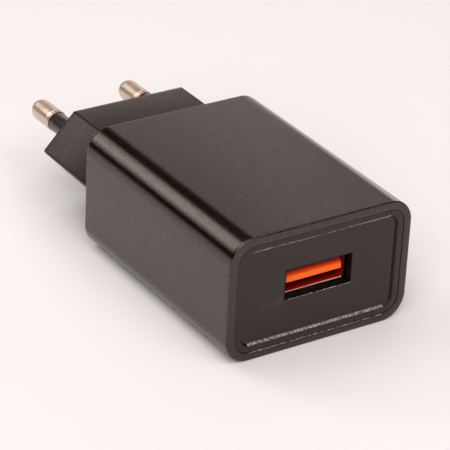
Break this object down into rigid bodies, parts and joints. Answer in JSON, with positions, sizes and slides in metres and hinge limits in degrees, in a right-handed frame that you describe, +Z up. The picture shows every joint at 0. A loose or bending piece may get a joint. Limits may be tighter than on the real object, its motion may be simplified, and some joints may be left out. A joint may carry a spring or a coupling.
{
  "type": "usb wall charger",
  "caption": "Compact USB wall charger: a rounded rectangular casing with one USB-A port in a recessed front cap and a flat fixed European plug behind.",
  "frame": {"origin": "on the ground under the middle of the whole charger, pins included, as it lies on its broad underside", "axes": "+Z up, out of the broad top face; +Y along the mains pins, towards their tips; the USB port faces -Y; +X to the right when looking at the USB port"},
  "size_m": [0.0362, 0.0798, 0.023],
  "materials": {
    "shell_plastic": "fine satin grain, warm black",
    "cap_plastic": "smooth satin, black",
    "head_plastic": "matte spark-eroded texture, black",
    "sleeve_plastic": "semi-gloss, black",
    "pin_nickel": "nickel-plated brass, bright with a warm tint",
    "usb_steel": "nickel-plated sheet",
    "usb_insulator": "satin, orange",
    "contact_gold": "thin gold plate",
    "terminal_brass": "bare brass",
    "board_laminate": "green solder mask",
    "ferrite": "sintered, dull dark grey",
    "bobbin_plastic": "moulded phenolic",
    "copper_wire": "enamelled copper",
    "tape_film": "yellow polyester tape",
    "can_sleeve": "shrink sleeve, dark blue",
    "disc_ceramic": "dipped coating, blue",
    "chip_plastic": "moulded epoxy",
    "fuse_coat": "flameproof coating",
    "tinned_metal": "tinned",
    "chip_ceramic": "fired ceramic",
    "insulation_film": "milky polyester film"
  },
  "bodies": {
    "root": {"body_shell": "shell_plastic", "front_cap": "cap_plastic", "plug_head": "head_plastic", "pin_left": "pin_nickel", "pin_right": "pin_nickel", "pin_sleeve_left": "sleeve_plastic", "pin_sleeve_right": "sleeve_plastic", "pin_terminal_left": "terminal_brass", "pin_terminal_right": "terminal_brass", "main_board": "board_laminate", "usb_shell": "usb_steel", "usb_insulator": "usb_insulator", "usb_contact_1": "contact_gold", "usb_contact_2": "contact_gold", "usb_contact_3": "contact_gold", "usb_contact_4": "contact_gold", "transformer_core_front": "ferrite", "transformer_core_rear": "ferrite", "transformer_bobbin": "bobbin_plastic", "transformer_winding": "copper_wire", "transformer_tape": "tape_film", "transformer_pin_1": "tinned_metal", "transformer_pin_2": "tinned_metal", "transformer_pin_3": "tinned_metal", "transformer_pin_4": "tinned_metal", "transformer_pin_5": "tinned_metal", "transformer_pin_6": "tinned_metal", "output_capacitor_1": "can_sleeve", "output_capacitor_2": "can_sleeve", "input_capacitor_1": "can_sleeve", "input_capacitor_2": "can_sleeve", "supply_capacitor": "can_sleeve", "safety_capacitor": "disc_ceramic", "optocoupler": "chip_plastic", "bridge_rectifier": "chip_plastic", "filter_inductor_core": "ferrite", "filter_inductor_winding": "copper_wire", "fuse_resistor": "fuse_coat", "controller_chip": "chip_plastic", "rectifier_chip": "chip_plastic", "snubber_diode": "chip_plastic", "chip_resistor_1": "chip_plastic", "chip_resistor_2": "chip_plastic", "chip_resistor_3": "chip_plastic", "chip_capacitor_1": "chip_ceramic", "chip_capacitor_2": "chip_ceramic", "insulation_sheet": "insulation_film", "insulation_barrier": "insulation_film"}
  },
  "joints": []
}
